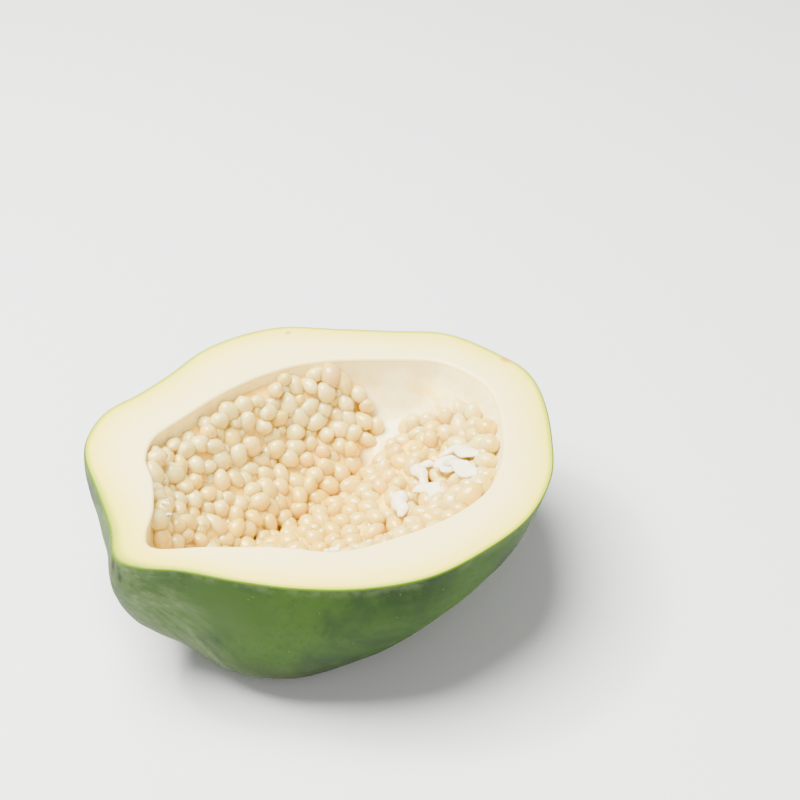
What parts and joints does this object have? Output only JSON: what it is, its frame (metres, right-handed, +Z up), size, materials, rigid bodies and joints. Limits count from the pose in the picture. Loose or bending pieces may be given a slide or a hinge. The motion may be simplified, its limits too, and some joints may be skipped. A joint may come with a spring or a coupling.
{
  "type": "papaya half",
  "caption": "Lengthwise half of a stubby green papaya: thick pale flesh under smooth green skin, round an open seed cavity lined with banks of round pale seeds",
  "frame": {"origin": "the middle of the small flat spot that the half rests on, with the cut face level above it", "axes": "+X along the fruit from the stem end to the blossom end, +Z up out of the cut face, +Y across the fruit"},
  "size_m": [0.1692, 0.1494, 0.057],
  "materials": {
    "skin_and_flesh": "waxy satin skin, moist cut flesh",
    "seeds": "wet gloss"
  },
  "bodies": {
    "root": {"papaya_half": "skin_and_flesh", "seeds_far_wall_stem": "seeds", "seeds_far_wall_shoulder": "seeds", "seeds_far_wall_belly": "seeds", "seeds_far_wall_tip": "seeds", "seeds_floor_stem": "seeds", "seeds_floor_tip": "seeds", "seeds_near_wall_stem": "seeds", "seeds_near_wall_tip": "seeds"}
  },
  "joints": []
}
